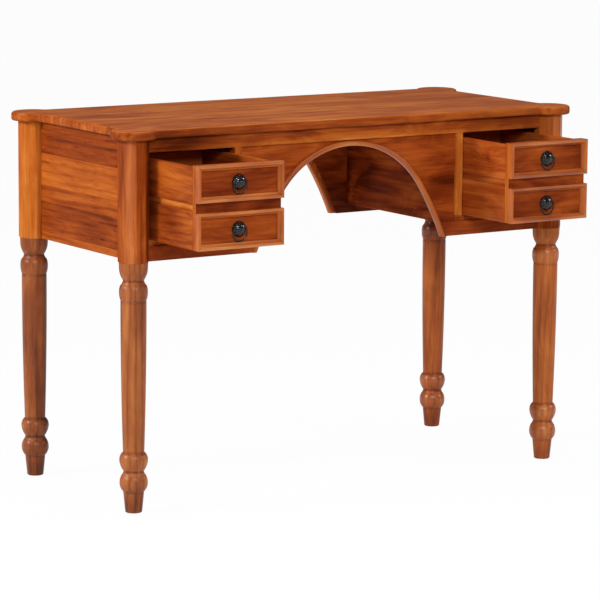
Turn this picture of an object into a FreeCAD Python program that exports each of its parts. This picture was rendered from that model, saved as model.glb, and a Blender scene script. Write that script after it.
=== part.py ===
import FreeCAD, Part
import math
import os

os.makedirs("parts", exist_ok=True)

Vector = FreeCAD.Vector

# Writing desk with an arched kneehole and one deep drawer in each pedestal.
# Millimetres. The floor is Z = 0, the origin is the middle of the four feet,
# X runs along the desk and the front faces -Y. The drawers stand part way open.

# Overall size
desk_length = 1100.0
desk_depth = 500.0
desk_height = 760.0

# Top
top_thickness = 18.0
lobe_radius = 45.0
lobe_cove = 5.0
top_overhang = 12.0
top_edge_round = 4.0

# Posts, the octagonal upper part of the legs
post_width = 60.0
post_chamfer = 20.0

# Turned lower part of the legs: radii, then heights from the floor up
foot_radius = 16.5
foot_top_radius = 20.5
lower_ball_radius = 27.3
waist_radius = 20.3
upper_ball_radius = 27.8
ankle_radius = 21.0
shaft_middle_radius = 24.9
shaft_top_radius = 26.0
groove_radius = 25.0
bulb_lower_radius = 27.6
bulb_radius = 28.5
bulb_upper_radius = 27.3
neck_radius = 22.3
cove_radius = 24.2
drum_low_radius = 28.2
drum_radius = 29.0
foot_height = 42.0
lower_ball_height = 39.0
waist_height = 2.0
upper_ball_height = 42.0
groove_height = 10.0
bulb_low_height = 17.0
bulb_high_height = 21.0
neck_height = 4.0
cove_height = 16.0
drum_height = 18.0

# Carcass boards
side_panel_setback = 31.0
side_panel_thickness = 15.0
rail_thickness = 18.0
top_rail_height = 28.0
bottom_rail_height = 30.0
stile_width = 17.0
spandrel_width = 24.3
inner_panel_thickness = 15.0
inner_panel_lift = 20.0
floor_thickness = 12.0
floor_setback = 4.0
arch_board_thickness = 12.0

# Arch of the kneehole: a crown arc that runs into a flatter arc on each side
arch_crown_gap = 1.5
arch_crown_radius = 200.0
arch_crown_angle = 57.4
arch_side_radius = 682.0
band_thickness = 10.5
band_depth = 13.0
band_proud = 8.0

# Drawers
left_opening = 180.0
right_opening = 164.0
drawer_proud = 5.0
drawer_side_gap = 1.5
drawer_floor_gap = 0.5
drawer_top_gap = 7.5
drawer_back_gap = 115.0
front_thickness = 12.0
panel_height = 72.0
strip_height = 20.0
drawer_side_thickness = 12.0
drawer_side_drop = 3.5
drawer_back_thickness = 12.0
drawer_back_drop = 4.0
bottom_thickness = 5.0
bottom_lift = 6.0
bottom_tongue = 5.0
bottom_gap = 0.2

# Moulding frames on the drawer fronts
moulding_width = 11.0
moulding_proud = 12.0
moulding_flat = 5.0
moulding_inner_proud = 4.0

# Runners and the grooves that slide on them
slide_groove_height = 14.0
slide_groove_depth = 6.0
runner_top_gap = 0.3
runner_bottom_gap = 0.7
runner_tip_gap = 0.7
runner_stop_gap = 0.3

# Ring pulls
rosette_radius = 15.0
rosette_rim = 2.0
rosette_step = 1.0
rosette_height = 11.0
petal_count = 8
petal_notch_radius = 2.5
petal_notch_depth = 1.1
pivot_height = 7.0
pivot_rise = 4.0
ring_wire_radius = 1.5
ring_radius = 15.0
ring_bend = 3.5
ring_frame_gap = 1.0
ring_pin_reach = 6.0
ring_pin_gap = 0.3

# Fasteners
fastener_gap = 0.1
dowel_radius = 3.0
dowel_length = 36.0
dowel_edge = 40.0
top_screw_radius = 2.0
top_screw_head_radius = 4.0
top_screw_head_height = 3.0
top_screw_grip = 10.0
top_screw_inset = 98.5
runner_screw_radius = 1.8
runner_screw_head_radius = 3.5
runner_screw_head_height = 2.5
runner_screw_grip = 10.0
runner_screw_inset = 50.0
pull_screw_radius = 2.0
pull_screw_head_radius = 4.0
pull_screw_head_height = 2.5
pull_screw_grip = 4.0

# Places worked out from the sizes above
post_half = post_width / 2
flat_half = post_half - post_chamfer
leg_x = desk_length / 2 - lobe_radius
leg_y = desk_depth / 2 - lobe_radius
underside = desk_height - top_thickness
drawer_height = 2 * panel_height + strip_height
bay_height = drawer_floor_gap + drawer_height + drawer_top_gap
carcass_height = bottom_rail_height + floor_thickness + bay_height + top_rail_height
carcass_bottom = underside - carcass_height
front_face = leg_y + flat_half
rail_back = front_face - rail_thickness
rail_bottom = underside - top_rail_height
board_face = rail_back + arch_board_thickness
between_posts = leg_y - post_half
arch_crown_top = rail_bottom - arch_crown_gap - band_thickness
arch_crown_z = arch_crown_top - arch_crown_radius
arch_turn = math.radians(arch_crown_angle)
arch_side_x = (arch_side_radius - arch_crown_radius) * math.sin(arch_turn)
arch_side_z = arch_crown_z - (arch_side_radius - arch_crown_radius) * math.cos(arch_turn)
arch_outer_radius = arch_side_radius + band_thickness
arch_reach = math.sqrt(arch_outer_radius ** 2 - (carcass_bottom - arch_side_z) ** 2) - arch_side_x
stile_edge = arch_reach + spandrel_width
bay_inner = stile_edge + stile_width
bay_outer = leg_x - post_half
side_outer = leg_x + post_half - side_panel_setback
side_inner = side_outer - side_panel_thickness
floor_bottom = carcass_bottom + bottom_rail_height
floor_top = floor_bottom + floor_thickness
pull_x = (bay_inner + bay_outer) / 2
drawer_outer = bay_outer - drawer_side_gap
drawer_inner = bay_inner + drawer_side_gap
drawer_bottom = floor_top + drawer_floor_gap
drawer_top = drawer_bottom + drawer_height
drawer_side_top = drawer_top - drawer_side_drop
bottom_low = drawer_bottom + bottom_lift
bottom_high = bottom_low + bottom_thickness
slide_middle = drawer_bottom + panel_height + strip_height / 2
slide_low = slide_middle - slide_groove_height / 2
slide_high = slide_middle + slide_groove_height / 2
closed_face = front_face + drawer_proud
drawer_length = closed_face + rail_back - drawer_back_gap
front_depth = moulding_proud + front_thickness
runner_low = slide_low + runner_bottom_gap
runner_high = slide_high - runner_top_gap
rosette_dome_radius = rosette_radius - rosette_step
ring_drop = panel_height / 2 - moulding_width - ring_frame_gap
ring_side_length = ring_drop + pivot_rise - ring_bend - ring_radius - ring_wire_radius
sides = {"left": -1, "right": 1}
ends = {"front": -1, "back": 1}


def box(x_range, y_range, z_range):
    low = Vector(min(x_range), min(y_range), min(z_range))
    high = Vector(max(x_range), max(y_range), max(z_range))
    size = high - low
    return Part.makeBox(size.x, size.y, size.z, low)


def line(first, last):
    return Part.LineSegment(first, last).toShape()


def arc(first, middle, last):
    return Part.Arc(first, middle, last).toShape()


def save(name, shape):
    shape.exportStep("parts/" + name + ".step")


# A rod about its middle, longer at both ends and thicker by the gap
def rod(middle, direction, radius, length, gap=0.0):
    start = middle - direction * (length / 2 + gap)
    return Part.makeCylinder(radius + gap, length + 2 * gap, start, direction)


# A countersunk screw whose head lies flush at the start point
def flush_screw(start, direction, radius, head_radius, head_height, length, gap=0.0):
    head = Part.makeCone(head_radius + gap, radius + gap, head_height, start, direction)
    shank = Part.makeCylinder(radius + gap, length + gap, start, direction)
    return head.fuse(shank)


# Dowels that join rails and side panels to the posts
def dowels(gap=0.0):
    rods = []
    for side in sides.values():
        for end in ends.values():
            rail_y = end * (rail_back + front_face) / 2
            at_rail = Vector(side * bay_outer, rail_y, (rail_bottom + underside) / 2)
            rods.append(rod(at_rail, Vector(1, 0, 0), dowel_radius, dowel_length, gap))
            panel_x = side * (side_outer + leg_x - flat_half) / 2
            for height in (carcass_bottom + dowel_edge, rail_bottom - dowel_edge):
                at_panel = Vector(panel_x, end * between_posts, height)
                rods.append(rod(at_panel, Vector(0, 1, 0), dowel_radius, dowel_length, gap))
        low_middle = (carcass_bottom + floor_bottom) / 2
        at_bottom = Vector(side * bay_outer, -(rail_back + front_face) / 2, low_middle)
        rods.append(rod(at_bottom, Vector(1, 0, 0), dowel_radius, dowel_length, gap))
        at_back = Vector(side * bay_outer, (rail_back + board_face) / 2, low_middle)
        rods.append(rod(at_back, Vector(1, 0, 0), dowel_radius, dowel_length, gap))
    return Part.makeCompound(rods)


# Screws that come up through the top rails into the top
def top_screws(gap=0.0):
    screws = []
    length = top_rail_height + top_screw_grip
    for end in ends.values():
        for across in (-1, 0, 1):
            rail_y = end * (rail_back + front_face) / 2
            start = Vector(across * (bay_outer - top_screw_inset), rail_y, rail_bottom)
            screws.append(flush_screw(start, Vector(0, 0, 1), top_screw_radius,
                                      top_screw_head_radius, top_screw_head_height, length, gap))
    return Part.makeCompound(screws)


# Back and tip of each runner: the outer ones stand on the side panels, the inner on the inner panels
def runner_faces(side):
    outer_tip = drawer_outer - slide_groove_depth + runner_tip_gap
    inner_tip = drawer_inner + slide_groove_depth - runner_tip_gap
    return {"outer": (side * side_inner, side * outer_tip), "inner": (side * bay_inner, side * inner_tip)}


# Screws through the runners into the panels that carry them
def runner_screws(gap=0.0):
    screws = []
    middle = (runner_low + runner_high) / 2
    for side in sides.values():
        for back, tip in runner_faces(side).values():
            direction = Vector(math.copysign(1, back - tip), 0, 0)
            length = abs(back - tip) + runner_screw_grip
            for end in ends.values():
                start = Vector(tip, end * (between_posts - runner_screw_inset), middle)
                screws.append(flush_screw(start, direction, runner_screw_radius,
                                          runner_screw_head_radius, runner_screw_head_height, length, gap))
    return Part.makeCompound(screws)


dowel_holes = dowels(fastener_gap)
top_screw_holes = top_screws(fastener_gap)
runner_screw_holes = runner_screws(fastener_gap)


# The top: a slab whose corners swell into a round lobe over each leg
def table_top():
    half_x = side_outer + top_overhang
    half_y = front_face + top_overhang
    slab = box((-half_x, half_x), (-half_y, half_y), (underside, desk_height))
    lobes = []
    for side in sides.values():
        for end in ends.values():
            corner = Vector(side * leg_x, end * leg_y, underside)
            lobes.append(Part.makeCylinder(lobe_radius, top_thickness, corner))
    top = slab.multiFuse(lobes).removeSplitter()
    coves = []
    for edge in top.Edges:
        upright = edge.BoundBox.ZLength > top_thickness / 2
        middle = edge.CenterOfMass
        on_edge = min(abs(abs(middle.x) - half_x), abs(abs(middle.y) - half_y)) < lobe_cove / 100
        if upright and on_edge:
            coves.append(edge)
    top = top.makeFillet(lobe_cove, coves)
    rim = [edge for edge in top.Edges if edge.BoundBox.ZLength < top_thickness / 2]
    top = top.makeFillet(top_edge_round, rim)
    return top.cut(top_screw_holes)


# Half outline of the turning, from the floor up: foot, two balls, tapered shaft, bulb, neck and drum
def turned_solid():
    lower_ball_top = foot_height + lower_ball_height
    upper_ball_low = lower_ball_top + waist_height
    ankle = upper_ball_low + upper_ball_height
    neck_top = carcass_bottom - drum_height - cove_height
    bulb_top = neck_top - neck_height
    bulb_middle = bulb_top - bulb_high_height
    bulb_low = bulb_middle - bulb_low_height
    shaft_top = bulb_low - groove_height

    def at(radius, height):
        return Vector(radius, 0, height)

    edges = [
        line(at(0, 0), at(foot_radius, 0)),
        line(at(foot_radius, 0), at(foot_top_radius, foot_height)),
        arc(at(foot_top_radius, foot_height), at(lower_ball_radius, (foot_height + lower_ball_top) / 2),
            at(waist_radius, lower_ball_top)),
        line(at(waist_radius, lower_ball_top), at(waist_radius, upper_ball_low)),
        arc(at(waist_radius, upper_ball_low), at(upper_ball_radius, (upper_ball_low + ankle) / 2),
            at(ankle_radius, ankle)),
        arc(at(ankle_radius, ankle), at(shaft_middle_radius, (ankle + shaft_top) / 2),
            at(shaft_top_radius, shaft_top)),
        arc(at(shaft_top_radius, shaft_top), at(groove_radius, shaft_top + groove_height / 2),
            at(shaft_top_radius, bulb_low)),
        arc(at(shaft_top_radius, bulb_low), at(bulb_lower_radius, bulb_low + bulb_low_height / 2),
            at(bulb_radius, bulb_middle)),
        arc(at(bulb_radius, bulb_middle), at(bulb_upper_radius, bulb_middle + bulb_high_height / 2),
            at(neck_radius, bulb_top)),
        line(at(neck_radius, bulb_top), at(neck_radius, neck_top)),
        arc(at(neck_radius, neck_top), at(cove_radius, neck_top + cove_height / 2),
            at(drum_low_radius, neck_top + cove_height)),
        line(at(drum_low_radius, neck_top + cove_height), at(drum_radius, carcass_bottom)),
        line(at(drum_radius, carcass_bottom), at(0, carcass_bottom)),
        line(at(0, carcass_bottom), at(0, 0)),
    ]
    return Part.Face(Part.Wire(edges)).revolve(Vector(0, 0, 0), Vector(0, 0, 1), 360)


# The octagonal post above the turning
def post_solid():
    corners = [(post_half, -flat_half), (post_half, flat_half), (flat_half, post_half),
               (-flat_half, post_half), (-post_half, flat_half), (-post_half, -flat_half),
               (-flat_half, -post_half), (flat_half, -post_half)]
    points = [Vector(x, y, carcass_bottom) for x, y in corners]
    return Part.Face(Part.makePolygon(points + points[:1])).extrude(Vector(0, 0, carcass_height))


posts = {}
one_leg = turned_solid().fuse(post_solid())
for end_name, end in ends.items():
    for side_name, side in sides.items():
        leg = one_leg.copy()
        leg.translate(Vector(side * leg_x, end * leg_y, 0))
        leg = leg.cut(dowel_holes)
        post = post_solid()
        post.translate(Vector(side * leg_x, end * leg_y, 0))
        posts[end_name, side_name] = post
        save("leg_" + end_name + "_" + side_name, leg)
save("table_top", table_top())


# Arc of the arch between two angles from upright, on a circle about (middle_x, middle_z) at depth y
def arch_arc(middle_x, middle_z, radius, first, last, y):
    points = []
    for angle in (first, (first + last) / 2, last):
        points.append(Vector(middle_x + radius * math.sin(angle), y, middle_z + radius * math.cos(angle)))
    return arc(*points)


# The three arcs of the arch, moved outwards by an offset, from the right foot to the left
def arch_arcs(offset, y):
    side_radius = arch_side_radius + offset
    foot = math.acos((carcass_bottom - arch_side_z) / side_radius)
    return [
        arch_arc(-arch_side_x, arch_side_z, side_radius, foot, arch_turn, y),
        arch_arc(0, arch_crown_z, arch_crown_radius + offset, arch_turn, -arch_turn, y),
        arch_arc(arch_side_x, arch_side_z, side_radius, -arch_turn, -foot, y),
    ]


def arch_foot(arcs, last):
    return arcs[-1].Vertexes[-1].Point if last else arcs[0].Vertexes[0].Point


# The opening of the arch with its band, as a solid between two depths
def arch_opening(y_low, y_high):
    arcs = arch_arcs(band_thickness, y_low)
    close = line(arch_foot(arcs, True), arch_foot(arcs, False))
    return Part.Face(Part.Wire(arcs + [close])).extrude(Vector(0, y_high - y_low, 0))


# The bent band that lines one arch
def arch_band(y_low, y_high):
    outer = arch_arcs(band_thickness, y_low)
    inner = arch_arcs(0, y_low)
    left = line(arch_foot(outer, True), arch_foot(inner, True))
    right = line(arch_foot(outer, False), arch_foot(inner, False))
    wire = Part.Wire(Part.__sortEdges__(outer + [left] + inner + [right]))
    return Part.Face(wire).extrude(Vector(0, y_high - y_low, 0))


front_range = (-front_face, -rail_back)
back_range = (rail_back, front_face)
front_opening = arch_opening(*front_range)
back_opening = arch_opening(*back_range)

# Rails
for end_name, y_range in (("front", front_range), ("back", back_range)):
    rail = box((-bay_outer, bay_outer), y_range, (rail_bottom, underside))
    save(end_name + "_top_rail", rail.cut(dowel_holes).cut(top_screw_holes))
for side_name, side in sides.items():
    rail = box((0, side * bay_outer), front_range, (carcass_bottom, floor_bottom))
    save("front_bottom_rail_" + side_name, rail.cut(front_opening).cut(dowel_holes))

# Arched boards and their bands
apron = box((-stile_edge, stile_edge), (-board_face, -rail_back), (floor_bottom, rail_bottom))
save("front_apron", apron.cut(front_opening))
back_board = box((-bay_outer, bay_outer), (rail_back, board_face), (carcass_bottom, rail_bottom))
save("back_board", back_board.cut(back_opening).cut(dowel_holes))
band_face = board_face + band_proud
save("front_arch_band", arch_band(-band_face, band_depth - band_face))
save("back_arch_band", arch_band(band_face - band_depth, band_face))

# Pedestals: side panel, stile, inner panel, floor and runners on each side
for side_name, side in sides.items():
    side_panel = box((side * side_inner, side * side_outer), (-between_posts, between_posts),
                     (carcass_bottom, underside))
    save("side_panel_" + side_name, side_panel.cut(dowel_holes).cut(runner_screw_holes))

    stile = box((side * stile_edge, side * bay_inner), front_range, (floor_top, rail_bottom))
    save("stile_" + side_name, stile)

    panel_edge = bay_inner - inner_panel_thickness
    inner_panel = box((side * panel_edge, side * bay_inner), (-rail_back, rail_back),
                      (carcass_bottom + inner_panel_lift, underside))
    save("inner_panel_" + side_name, inner_panel.cut(runner_screw_holes))

    floor_front = floor_setback - front_face
    floor = box((side * bay_inner, side * side_inner), (floor_front, rail_back), (floor_bottom, floor_top))
    lip = box((side * stile_edge, side * bay_inner), (floor_front, -rail_back), (floor_bottom, floor_top))
    floor = floor.fuse(lip)
    for end_name in ends:
        floor = floor.cut(posts[end_name, side_name])
    save("pedestal_floor_" + side_name, floor.removeSplitter())

    stop_y = front_depth - closed_face + runner_stop_gap
    runner_starts = {"outer": max(stop_y, -between_posts), "inner": stop_y}
    for place, (back, tip) in runner_faces(side).items():
        runner = box((back, tip), (runner_starts[place], between_posts), (runner_low, runner_high))
        save("runner_" + side_name + "_" + place, runner.cut(runner_screw_holes))

save("frame_dowels", dowels())
save("top_screws", top_screws())
save("runner_screws", runner_screws())


# Four mitred strips round a drawer panel, flat at the outside and bevelled towards the panel
def moulding_frame(x_low, x_high, z_low, z_high, y_back):
    section = [(0, 0), (0, moulding_proud), (moulding_flat, moulding_proud),
               (moulding_width, moulding_inner_proud), (moulding_width, 0)]
    corners = [(x_low, z_low, 1, 1), (x_high, z_low, -1, 1),
               (x_high, z_high, -1, -1), (x_low, z_high, 1, -1)]
    mitres = []
    for x, z, in_x, in_z in corners:
        points = []
        for across, proud in section:
            points.append(Vector(x + in_x * across, y_back - proud, z + in_z * across))
        mitres.append(Part.makePolygon(points + points[:1]))
    strips = []
    for first, last in zip(mitres, mitres[1:] + mitres[:1]):
        strips.append(Part.makeLoft([first, last], True, True))
    return Part.makeCompound(strips)


# A domed rosette with a scalloped rim, facing -Y, bored for the ring's ends and for its screw
def rosette(centre):
    def at(radius, proud):
        return centre + Vector(radius, -proud, 0)

    rise = rosette_height - rosette_rim
    ball = (rosette_dome_radius ** 2 + rise ** 2) / (2 * rise)
    half_turn = math.asin(rosette_dome_radius / ball) / 2
    shoulder = at(ball * math.sin(half_turn), rosette_height - ball + ball * math.cos(half_turn))
    edges = [
        line(at(0, 0), at(rosette_radius, 0)),
        line(at(rosette_radius, 0), at(rosette_radius, rosette_rim)),
        line(at(rosette_radius, rosette_rim), at(rosette_dome_radius, rosette_rim)),
        arc(at(rosette_dome_radius, rosette_rim), shoulder, at(0, rosette_height)),
        line(at(0, rosette_height), at(0, 0)),
    ]
    dome = Part.Face(Part.Wire(edges)).revolve(centre, Vector(0, 1, 0), 360)
    notch_reach = rosette_radius + petal_notch_radius - petal_notch_depth
    cuts = []
    for petal in range(petal_count):
        angle = 2 * math.pi * (petal + 0.5) / petal_count
        middle = centre + Vector(notch_reach * math.cos(angle), 0, notch_reach * math.sin(angle))
        cuts.append(rod(middle, Vector(0, 1, 0), petal_notch_radius, 2 * rosette_height))
    pivot = centre + Vector(0, -pivot_height, pivot_rise)
    cuts.append(rod(pivot, Vector(1, 0, 0), ring_wire_radius + ring_pin_gap, 2 * rosette_radius))
    cuts.append(rod(centre, Vector(0, 1, 0), pull_screw_radius, 2 * pull_screw_grip, fastener_gap))
    return dome.cut(Part.makeCompound(cuts))


# The drop ring: a wire bent to a U, with both ends turned in to pivot in the rosette
def drop_ring(centre):
    pivot = centre + Vector(0, -pivot_height, pivot_rise)
    low = -ring_bend - ring_side_length
    inset = ring_radius - ring_bend
    corner = ring_bend * math.sqrt(0.5)

    def at(across, up):
        return pivot + Vector(across, 0, up)

    path = [
        line(at(-ring_pin_reach, 0), at(-inset, 0)),
        arc(at(-inset, 0), at(-inset - corner, corner - ring_bend), at(-ring_radius, -ring_bend)),
        line(at(-ring_radius, -ring_bend), at(-ring_radius, low)),
        arc(at(-ring_radius, low), at(0, low - ring_radius), at(ring_radius, low)),
        line(at(ring_radius, low), at(ring_radius, -ring_bend)),
        arc(at(ring_radius, -ring_bend), at(inset + corner, corner - ring_bend), at(inset, 0)),
        line(at(inset, 0), at(ring_pin_reach, 0)),
    ]
    section = Part.Wire(Part.makeCircle(ring_wire_radius, at(-ring_pin_reach, 0), Vector(1, 0, 0)))
    return Part.Wire(path).makePipeShell([section], True, False)


# A round-headed screw from the inside of the drawer front into a rosette
def pull_screw(centre, gap=0.0):
    inside = centre + Vector(0, front_thickness, 0)
    length = front_thickness + pull_screw_grip
    shank = Part.makeCylinder(pull_screw_radius + gap, length, inside, Vector(0, -1, 0))
    head = Part.makeCylinder(pull_screw_head_radius, pull_screw_head_height, inside, Vector(0, 1, 0))
    return shank.fuse(head)


# One drawer at its rest place, with its double front, grooved sides and two pulls
def save_drawer(side_name, side, opening):
    def node(piece, shape):
        save("drawer_" + side_name + "_" + piece, shape)

    face_y = -closed_face - opening
    board_y = face_y + moulding_proud
    inside_y = face_y + front_depth
    end_y = face_y + drawer_length
    x_range = (side * drawer_inner, side * drawer_outer)

    panels = {"lower": drawer_bottom, "upper": drawer_top - panel_height}
    screws = []
    screw_holes = []
    for level, low in panels.items():
        frame = moulding_frame(min(x_range), max(x_range), low, low + panel_height, board_y)
        centre = Vector(side * pull_x, board_y, low + panel_height / 2)
        node("frame_" + level, frame)
        node("rosette_" + level, rosette(centre))
        node("ring_" + level, drop_ring(centre))
        screws.append(pull_screw(centre))
        screw_holes.append(pull_screw(centre, fastener_gap))
    node("pull_screws", Part.makeCompound(screws))

    front = box(x_range, (board_y, inside_y), (drawer_bottom, drawer_top))
    node("front", front.cut(Part.makeCompound(screw_holes)))

    inside_x = {}
    for place, face, inward in (("outer", drawer_outer, -1), ("inner", drawer_inner, 1)):
        inside = face + inward * drawer_side_thickness
        inside_x[place] = side * inside
        board = box((side * face, side * inside), (inside_y, end_y), (drawer_bottom, drawer_side_top))
        slide_depth = face + inward * slide_groove_depth
        slide = box((side * face, side * slide_depth), (inside_y, end_y), (slide_low, slide_high))
        tongue_depth = inside - inward * (bottom_tongue + bottom_gap)
        tongue = box((side * inside, side * tongue_depth), (inside_y, end_y),
                     (bottom_low - bottom_gap, bottom_high + bottom_gap))
        node("side_" + place, board.cut(slide).cut(tongue))

    back = box(inside_x.values(), (end_y - drawer_back_thickness, end_y),
               (bottom_high, drawer_side_top - drawer_back_drop))
    node("back", back)
    reach = drawer_side_thickness - bottom_tongue
    bottom = box((side * (drawer_outer - reach), side * (drawer_inner + reach)), (inside_y, end_y),
                 (bottom_low, bottom_high))
    node("bottom", bottom)


save_drawer("left", sides["left"], left_opening)
save_drawer("right", sides["right"], right_opening)
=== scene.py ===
import math

import bpy
import numpy as np
from mathutils import Matrix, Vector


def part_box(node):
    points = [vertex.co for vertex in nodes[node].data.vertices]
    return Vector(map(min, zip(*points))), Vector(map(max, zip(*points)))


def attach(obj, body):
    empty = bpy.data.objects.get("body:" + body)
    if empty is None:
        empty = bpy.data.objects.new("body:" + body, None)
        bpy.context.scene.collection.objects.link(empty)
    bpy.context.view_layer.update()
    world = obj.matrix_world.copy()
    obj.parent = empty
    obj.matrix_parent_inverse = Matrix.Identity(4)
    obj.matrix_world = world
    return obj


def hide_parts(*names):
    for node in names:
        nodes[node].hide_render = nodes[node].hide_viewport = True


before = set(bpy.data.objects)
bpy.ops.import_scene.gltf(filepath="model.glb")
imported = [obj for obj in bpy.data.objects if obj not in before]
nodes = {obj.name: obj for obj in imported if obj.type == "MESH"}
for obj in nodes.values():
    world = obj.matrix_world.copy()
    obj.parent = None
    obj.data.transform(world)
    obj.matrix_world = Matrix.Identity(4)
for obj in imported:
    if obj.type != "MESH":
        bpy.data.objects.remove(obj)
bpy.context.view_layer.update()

scene = bpy.context.scene
scene.view_settings.view_transform = "Standard"
mm = 0.001
fullTurn = 2 * math.pi
sideSigns = {"left": -1, "right": 1}
endSigns = {"front": -1, "back": 1}
print("frame loaded:", len(nodes), "nodes")


# Unit vectors (cos, sin) of an array of turns
def wayOf(turn):
    return np.stack([np.cos(turn), np.sin(turn)], -1)


# Corner indices of every cell of a rows x cols grid, wrapped round where asked
def gridQuads(rows, cols, wrapRows=False, wrapCols=False):
    i = np.arange(rows if wrapRows else rows - 1)
    j = np.arange(cols if wrapCols else cols - 1)
    i, j = np.meshgrid(i, j, indexing="ij")
    iNext, jNext = (i + 1) % rows, (j + 1) % cols
    cells = [i * cols + j, iNext * cols + j, iNext * cols + jNext, i * cols + jNext]
    return np.stack(cells, -1).reshape(-1, 4)


# Faces of a tube of rows x cols points, with a flat face at each end
def tubeFaces(rows, cols, start=0):
    faces = (gridQuads(rows, cols, wrapCols=True) + start).tolist()
    last = start + (rows - 1) * cols
    faces.append(list(range(start, start + cols)))
    faces.append(list(range(last, last + cols))[::-1])
    return faces


# Signed volume of the faces, by tetrahedra from the origin; negative means inside out
def signedVolume(points, faces):
    total = 0.0
    for size in {len(face) for face in faces}:
        p = points[np.array([face for face in faces if len(face) == size])]
        total += np.einsum("fk,fik->", p[:, 0], np.cross(p[:, 1:-1], p[:, 2:]))
    return total / 6


# A mesh object at the origin. Exact normals where given, otherwise smooth up to the crease angle
def makePiece(name, points, faces, normals=None, crease=35, uv=None, cornerNormals=None):
    points = np.asarray(points, float).reshape(-1, 3)
    faces = [list(map(int, face)) for face in faces]
    if cornerNormals is None and signedVolume(points - points.mean(0), faces) < 0:
        faces = [face[::-1] for face in faces]
    mesh = bpy.data.meshes.new(name)
    mesh.from_pydata(points.tolist(), [], faces)
    mesh.shade_smooth()
    if uv is not None:
        corner = np.empty(len(mesh.loops), np.int32)
        mesh.loops.foreach_get("vertex_index", corner)
        layer = mesh.uv_layers.new(name="grain")
        layer.data.foreach_set("uv", np.asarray(uv, np.float32).reshape(-1, 2)[corner].ravel())
    if normals is not None:
        mesh.normals_split_custom_set_from_vertices(np.asarray(normals, float).reshape(-1, 3).tolist())
    else:
        mesh.set_sharp_from_angle(angle=math.radians(crease))
    if cornerNormals is not None:
        mesh.normals_split_custom_set(np.asarray(cornerNormals, float).reshape(-1, 3).tolist())
    made = bpy.data.objects.new(name, mesh)
    scene.collection.objects.link(made)
    return made


# Says which of a piece's materials each face takes
def paintFaces(piece, which):
    piece.data.polygons.foreach_set("material_index", np.asarray(which, np.int32))


# Gives a finished piece its material and body, and hides the CAD nodes it stands for
def settle(piece, material, body, slot, *stands):
    for one in material if isinstance(material, (list, tuple)) else [material]:
        piece.data.materials.append(one)
    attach(piece, body)
    if stands:
        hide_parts(*stands)
    return piece


# A board with all its edges rounded. Each point q of the box's skin goes to
# p = c + r (q - c) / |q - c|, where c is q held inside the box shrunk by r
def roundedBoard(name, low, high, radius, steps=4):
    low, high = np.array(low, float), np.array(high, float)
    reach = radius * np.tan(np.linspace(0, math.pi / 4, steps + 1))
    ticks = [np.concatenate([low[a] + radius - reach[::-1], high[a] - radius + reach]) for a in range(3)]
    skins, quads, count = [], [], 0
    for axis in range(3):
        b, c = (axis + 1) % 3, (axis + 2) % 3
        u, v = np.meshgrid(ticks[b], ticks[c], indexing="ij")
        for level, flip in ((low[axis], True), (high[axis], False)):
            skin = np.empty(u.shape + (3,))
            skin[..., axis], skin[..., b], skin[..., c] = level, u, v
            cells = gridQuads(*u.shape) + count
            quads.append(cells[:, ::-1] if flip else cells)
            skins.append(skin.reshape(-1, 3))
            count += u.size
    skin = np.concatenate(skins)
    core = np.clip(skin, low + radius, high - radius)
    away = skin - core
    away /= np.linalg.norm(away, axis=1, keepdims=True)
    points = core + radius * away
    _, first, back = np.unique(np.round(points, 7), axis=0, return_index=True, return_inverse=True)
    quads = back.reshape(-1)[np.concatenate(quads)]
    return makePiece(name, points[first], quads, normals=away[first])


# Points on the circle through three points of a plane
def arcThrough(first, middle, last, count):
    a, b, c = (np.array(p, float) for p in (first, middle, last))
    centre = np.linalg.solve(2 * np.array([b - a, c - a]), [b @ b - a @ a, c @ c - a @ a])
    turns = np.unwrap([math.atan2(*(p - centre)[::-1]) for p in (a, b, c)])
    return centre + np.linalg.norm(a - centre) * wayOf(np.linspace(turns[0], turns[2], count))


# A closed outline whose corners are rounded, each by its own radius (0 stays sharp)
def roundedOutline(corners, radii, steps=5):
    corners = np.array(corners, float)
    before, after = np.roll(corners, 1, 0), np.roll(corners, -1, 0)
    outline = []
    for p, q, s, radius in zip(corners, before, after, radii):
        if radius == 0:
            outline.append(p[None])
            continue
        toQ, toS = (q - p) / np.linalg.norm(q - p), (s - p) / np.linalg.norm(s - p)
        half = math.acos(np.clip(toQ @ toS, -1, 1)) / 2
        reach = radius / math.tan(half)
        inward = (toQ + toS) / np.linalg.norm(toQ + toS)
        tip = p + inward * (radius / math.sin(half) - radius)
        outline.append(arcThrough(p + toQ * reach, tip, p + toS * reach, steps + 1))
    return np.concatenate(outline)


# A closed section carried straight from one place to another, with flat ends.
# section holds (a, b) pairs; place(section, t) gives points for t = 0 and 1
def carriedSection(name, section, place):
    rows = np.stack([place(section, t) for t in (0.0, 1.0)])
    return makePiece(name, rows, tubeFaces(2, len(section)))


# Sets a node's inputs, each to a number or to another node's output
def feed(tree, node, inputs):
    for key, value in inputs.items():
        if isinstance(value, bpy.types.NodeSocket):
            tree.links.new(value, node.inputs[key])
        else:
            node.inputs[key].default_value = value


# A new node with its settings and its inputs
def put(tree, kind, inputs=None, **settings):
    made = tree.nodes.new("ShaderNode" + kind)
    for key, value in settings.items():
        setattr(made, key, value)
    feed(tree, made, inputs or {})
    return made


def calc(tree, operation, *values):
    return put(tree, "Math", dict(enumerate(values)), operation=operation).outputs[0]


def vectorCalc(tree, operation, *values):
    made = put(tree, "VectorMath", dict(enumerate(values)), operation=operation)
    return made.outputs["Value" if operation == "DOT_PRODUCT" else "Vector"]


# value + (layer - middle) * weight
def layered(tree, value, layer, weight, middle=0.5):
    return calc(tree, "MULTIPLY_ADD", calc(tree, "SUBTRACT", layer, middle), weight, value)


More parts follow.
